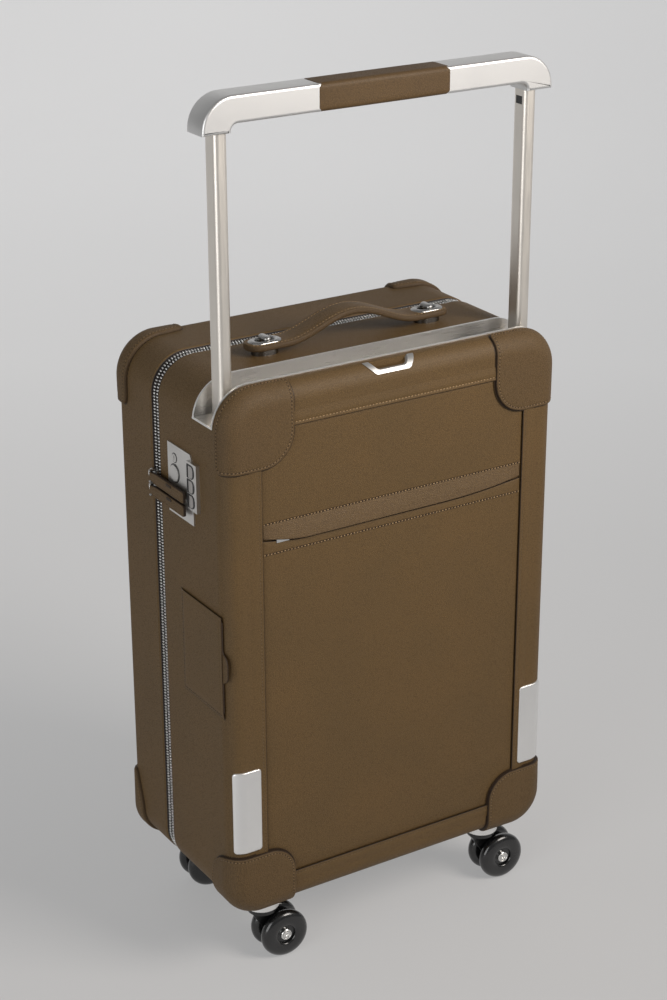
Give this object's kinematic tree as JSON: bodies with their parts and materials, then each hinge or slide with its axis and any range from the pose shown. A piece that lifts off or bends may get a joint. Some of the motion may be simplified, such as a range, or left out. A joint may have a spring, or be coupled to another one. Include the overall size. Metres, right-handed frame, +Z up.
{
  "type": "carry-on suitcase",
  "caption": "Upright leather carry-on suitcase on swivelling twin-wheel casters, with a pull-out trolley handle, carry strap, zipped lid, combination lock and slit pocket.",
  "frame": {"origin": "on the floor under the middle of the closed case", "axes": "+X to the right seen from the front, +Y from the front pocket to the lid, +Z up"},
  "size_m": [0.3407, 0.19, 0.781],
  "materials": {
    "leather_case": "taupe-brown leather with a fine even grain and a soft low sheen",
    "leather_trim": "the same taupe-brown leather in thicker stitched pieces with burnished edges",
    "satin_aluminium": "satin anodised silver aluminium",
    "lock_metal": "matt silver plated metal",
    "bright_metal": "polished silver metal",
    "wheel_black": "glossy black moulded tyre",
    "black_plastic": "black moulded plastic",
    "lining_cloth": "plain woven lining cloth",
    "lining_board": "stiff board behind the lining"
  },
  "bodies": {
    "case": {"main_shell": "leather_case", "pocket_panel": "leather_case", "upper_panel": "leather_case", "front_corner_patches": "leather_trim", "kick_plates": "satin_aluminium", "handle_tray": "satin_aluminium", "notch_rim": "satin_aluminium", "guide_tubes": "satin_aluminium", "tube_feet": "black_plastic", "trolley_cover": "lining_board", "case_lining": "lining_cloth", "lock_plate": "lock_metal", "lock_case": "lock_metal", "dial_axle": "lock_metal", "tag_pocket": "leather_trim", "zip_track_case": "bright_metal", "hinge_gusset": "leather_trim", "carry_strap": "leather_trim", "carry_bases": "bright_metal", "carry_eyelets": "bright_metal", "front_caster_caps": "satin_aluminium", "pocket_zip_tape": "lining_cloth"},
    "lid": {"lid_shell": "leather_case", "rear_corners": "leather_trim", "lid_lining": "lining_cloth", "zip_track_lid": "bright_metal", "rear_caster_caps": "satin_aluminium"},
    "trolley": {"trolley_posts": "satin_aluminium", "grip_end_left": "satin_aluminium", "grip_end_right": "satin_aluminium", "grip_core": "satin_aluminium", "grip_sleeve": "leather_trim"},
    "release_button": {"release_button": "black_plastic"},
    "stow_catch": {"stow_catch": "black_plastic"},
    "dial_1": {"dial_1": "lock_metal"},
    "dial_2": {"dial_2": "lock_metal"},
    "dial_3": {"dial_3": "lock_metal"},
    "lock_button": {"lock_button": "lock_metal"},
    "key_cylinder": {"key_cylinder": "lock_metal"},
    "zip_slider_upper": {"zip_slider_upper": "bright_metal"},
    "zip_slider_lower": {"zip_slider_lower": "bright_metal"},
    "zip_pull_upper": {"zip_pull_upper": "leather_trim"},
    "zip_pull_lower": {"zip_pull_lower": "leather_trim"},
    "name_tag": {"name_tag": "leather_trim"},
    "pocket_slider": {"pocket_slider": "bright_metal"},
    "carry_knob_left": {"carry_knob_left": "bright_metal"},
    "carry_knob_right": {"carry_knob_right": "bright_metal"},
    "caster_front_left": {"caster_fork_front_left": "black_plastic"},
    "wheels_front_left": {"caster_wheels_front_left": "wheel_black", "caster_axle_front_left": "bright_metal"},
    "caster_front_right": {"caster_fork_front_right": "black_plastic"},
    "wheels_front_right": {"caster_wheels_front_right": "wheel_black", "caster_axle_front_right": "bright_metal"},
    "caster_rear_left": {"caster_fork_rear_left": "black_plastic"},
    "wheels_rear_left": {"caster_wheels_rear_left": "wheel_black", "caster_axle_rear_left": "bright_metal"},
    "caster_rear_right": {"caster_fork_rear_right": "black_plastic"},
    "wheels_rear_right": {"caster_wheels_rear_right": "wheel_black", "caster_axle_rear_right": "bright_metal"}
  },
  "joints": [
    {"name": "lid_hinge", "type": "hinge", "parent": "case", "child": "lid", "pos_m": [0.1655, 0.0245, 0.3085], "axis": [0, 0, -1], "range_deg": [0, 172], "deforming": ["hinge_gusset"]},
    {"name": "trolley_slide", "type": "slide", "parent": "case", "child": "trolley", "axis": [0, 0, 1], "range_m": [-0.231, 0]},
    {"name": "release_button_press", "type": "slide", "parent": "trolley", "child": "release_button", "axis": [0, 0, 1], "range_m": [0, 0.003], "stiffness_N_per_m": 600, "springref_m": -0.002},
    {"name": "stow_catch_press", "type": "slide", "parent": "trolley", "child": "stow_catch", "axis": [1, 0, 0], "range_m": [0, 0.002], "stiffness_N_per_m": 400, "springref_m": -0.001},
    {"name": "dial_1_turn", "type": "hinge", "parent": "case", "child": "dial_1", "pos_m": [-0.1617, -0.04125, 0.4715], "axis": [0, 0, 1], "continuous": true},
    {"name": "dial_2_turn", "type": "hinge", "parent": "case", "child": "dial_2", "pos_m": [-0.1617, -0.04125, 0.4585], "axis": [0, 0, 1], "continuous": true},
    {"name": "dial_3_turn", "type": "hinge", "parent": "case", "child": "dial_3", "pos_m": [-0.1617, -0.04125, 0.4455], "axis": [0, 0, 1], "continuous": true},
    {"name": "lock_button_press", "type": "slide", "parent": "case", "child": "lock_button", "axis": [1, 0, 0], "range_m": [0, 0.002], "stiffness_N_per_m": 500, "springref_m": -0.001},
    {"name": "key_turn", "type": "hinge", "parent": "case", "child": "key_cylinder", "pos_m": [-0.1625, -0.0115, 0.4735], "axis": [1, 0, 0], "range_deg": [0, 90]},
    {"name": "zip_slider_upper_run", "type": "slide", "parent": "case", "child": "zip_slider_upper", "axis": [0, 0, 1], "range_m": [0, 0.055]},
    {"name": "zip_pull_upper_swing", "type": "hinge", "parent": "zip_slider_upper", "child": "zip_pull_upper", "pos_m": [-0.1705, 0.0245, 0.446], "axis": [0, 0, -1], "range_deg": [0, 175]},
    {"name": "zip_slider_lower_run", "type": "slide", "parent": "case", "child": "zip_slider_lower", "axis": [0, 0, 1], "range_m": [-0.3, 0]},
    {"name": "zip_pull_lower_swing", "type": "hinge", "parent": "zip_slider_lower", "child": "zip_pull_lower", "pos_m": [-0.1705, 0.0245, 0.434], "axis": [0, 0, -1], "range_deg": [0, 175]},
    {"name": "tag_slide", "type": "slide", "parent": "case", "child": "name_tag", "axis": [0, -1, 0], "range_m": [0, 0.06]},
    {"name": "pocket_slider_run", "type": "slide", "parent": "case", "child": "pocket_slider", "axis": [1, 0, 0], "range_m": [0, 0.222]},
    {"name": "carry_knob_left_turn", "type": "hinge", "parent": "case", "child": "carry_knob_left", "pos_m": [-0.081, -0.015, 0.56], "axis": [0, 0, 1], "range_deg": [0, 90]},
    {"name": "carry_knob_right_turn", "type": "hinge", "parent": "case", "child": "carry_knob_right", "pos_m": [0.081, -0.015, 0.56], "axis": [0, 0, 1], "range_deg": [0, 90]},
    {"name": "caster_front_left_swivel", "type": "hinge", "parent": "case", "child": "caster_front_left", "pos_m": [-0.12, -0.061, 0.05], "axis": [0, 0, 1], "continuous": true},
    {"name": "wheels_front_left_roll", "type": "hinge", "parent": "caster_front_left", "child": "wheels_front_left", "pos_m": [-0.10302, -0.06189, 0.0225], "axis": [0.0523, 0.9986, 0], "continuous": true},
    {"name": "caster_front_right_swivel", "type": "hinge", "parent": "case", "child": "caster_front_right", "pos_m": [0.12, -0.061, 0.05], "axis": [0, 0, 1], "continuous": true},
    {"name": "wheels_front_right_roll", "type": "hinge", "parent": "caster_front_right", "child": "wheels_front_right", "pos_m": [0.13698, -0.06189, 0.0225], "axis": [0.0523, 0.9986, 0], "continuous": true},
    {"name": "caster_rear_left_swivel", "type": "hinge", "parent": "lid", "child": "caster_rear_left", "pos_m": [-0.12, 0.075, 0.05], "axis": [0, 0, 1], "continuous": true},
    {"name": "wheels_rear_left_roll", "type": "hinge", "parent": "caster_rear_left", "child": "wheels_rear_left", "pos_m": [-0.10302, 0.07411, 0.0225], "axis": [0.0523, 0.9986, 0], "continuous": true},
    {"name": "caster_rear_right_swivel", "type": "hinge", "parent": "lid", "child": "caster_rear_right", "pos_m": [0.12, 0.075, 0.05], "axis": [0, 0, 1], "continuous": true},
    {"name": "wheels_rear_right_roll", "type": "hinge", "parent": "caster_rear_right", "child": "wheels_rear_right", "pos_m": [0.13698, 0.07411, 0.0225], "axis": [0.0523, 0.9986, 0], "continuous": true}
  ]
}
